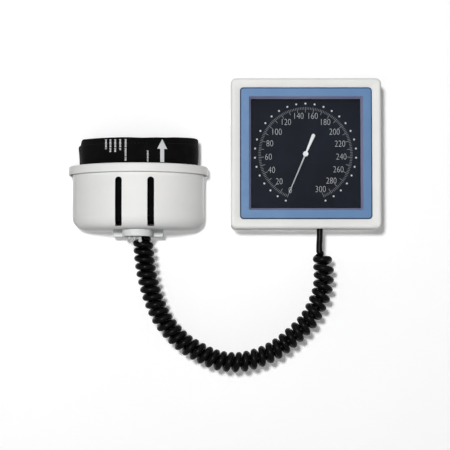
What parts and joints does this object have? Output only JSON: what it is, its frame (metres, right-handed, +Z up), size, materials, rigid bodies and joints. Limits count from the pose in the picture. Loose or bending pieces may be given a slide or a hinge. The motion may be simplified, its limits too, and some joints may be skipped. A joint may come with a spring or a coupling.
{
  "type": "wall-mounted aneroid sphygmomanometer",
  "caption": "Square large-dial aneroid blood pressure gauge with a geared pointer, coiled hose, wall basket, rolled cuff and inflation bulb.",
  "frame": {"origin": "on the wall's face, behind the pointer's axis, at the middle of the gauge bracket's four screws", "axes": "+X to the right as seen from the front, +Y into the wall, +Z up"},
  "size_m": [0.4555, 0.105, 0.426],
  "materials": {
    "case_abs": "satin white ABS",
    "trim_abs": "satin light blue ABS",
    "lens_acrylic": "clear acrylic",
    "dial_paint": "matt black painted aluminium with printed scale",
    "pointer_paint": "white painted",
    "steel": "bright steel",
    "spring_bronze": "phosphor bronze",
    "brass": "machined brass",
    "capsule_bronze": "pressed beryllium bronze",
    "silicone": "translucent silicone",
    "plated_brass": "nickel plated brass",
    "zinc_steel": "zinc plated steel",
    "basket_abs": "white ABS",
    "holder_abs": "white ABS",
    "hose_pvc": "black flexible PVC",
    "cuff_nylon": "black woven nylon",
    "bladder_latex": "black rubber",
    "hook_nylon": "black hook tape",
    "loop_nylon": "black loop tape",
    "bulb_pvc": "black PVC"
  },
  "bodies": {
    "wall_unit": {"gauge_case": "case_abs", "trim_frame": "trim_abs", "lens": "lens_acrylic", "dial_plate": "dial_paint", "hairspring": "spring_bronze", "front_plate": "brass", "rear_plate": "brass", "pillars": "brass", "plate_spacers": "brass", "movement_screws": "steel", "capsule_front": "capsule_bronze", "capsule_rear": "capsule_bronze", "capsule_stud": "brass", "capsule_nut": "brass", "inner_tube": "silicone", "hose_inlet": "plated_brass", "chassis_plate": "zinc_steel", "chassis_screws": "zinc_steel", "rear_cover": "case_abs", "cover_screws": "zinc_steel", "wall_bracket": "zinc_steel", "hanging_studs": "zinc_steel", "basket_shell": "basket_abs", "hose_holder": "holder_abs", "holder_screws": "zinc_steel", "coil_hose": "hose_pvc", "hose_connector": "plated_brass"},
    "pointer_group": {"pointer": "pointer_paint", "pointer_arbor": "steel"},
    "sector_group": {"sector_gear": "brass", "sector_arbor": "steel"},
    "rocking_group": {"rocking_shaft": "steel"},
    "capsule_push": {"push_pin": "steel"},
    "cuff_and_bulb": {"cuff_sleeve": "cuff_nylon", "bladder": "bladder_latex", "bladder_port": "bladder_latex", "hook_strip": "hook_nylon", "loop_strip": "loop_nylon", "inflation_bulb": "bulb_pvc", "inlet_valve": "plated_brass", "valve_body": "plated_brass"},
    "valve_knob": {"release_knob": "plated_brass"}
  },
  "joints": [
    {"name": "sector_turn", "type": "hinge", "parent": "wall_unit", "child": "sector_group", "pos_m": [0, -0.0411, -0.0264], "axis": [0, -1, 0], "range_deg": [0, 31.4], "stiffness_Nm_per_rad": 0.004, "springref_deg": -28.65},
    {"name": "pointer_turn", "type": "hinge", "parent": "wall_unit", "child": "pointer_group", "pos_m": [0, -0.049, 0], "axis": [0, 1, 0], "range_deg": [0, 314], "deforming": ["hairspring"]},
    {"name": "rocking_turn", "type": "hinge", "parent": "wall_unit", "child": "rocking_group", "pos_m": [-0.014, -0.0358, -0.02534], "axis": [1, 0, 0], "range_deg": [0, 47.9]},
    {"name": "capsule_press", "type": "slide", "parent": "wall_unit", "child": "capsule_push", "axis": [0, -1, 0], "range_m": [0, 0.00179], "deforming": ["capsule_front"]},
    {"name": "cuff_lift", "type": "slide", "parent": "wall_unit", "child": "cuff_and_bulb", "axis": [0, 0, 1], "range_m": [0, 0.16]},
    {"name": "valve_knob_turn", "type": "hinge", "parent": "cuff_and_bulb", "child": "valve_knob", "pos_m": [-0.2665, -0.038, 0], "axis": [0, 0, 1], "range_deg": [0, 360]}
  ],
  "couplings": [
    {"joint": "pointer_turn", "follows": "sector_turn", "ratio": 10},
    {"joint": "rocking_turn", "follows": "sector_turn", "ratio": 1.5253},
    {"joint": "capsule_press", "follows": "sector_turn", "m_per_rad": 0.0032588}
  ]
}
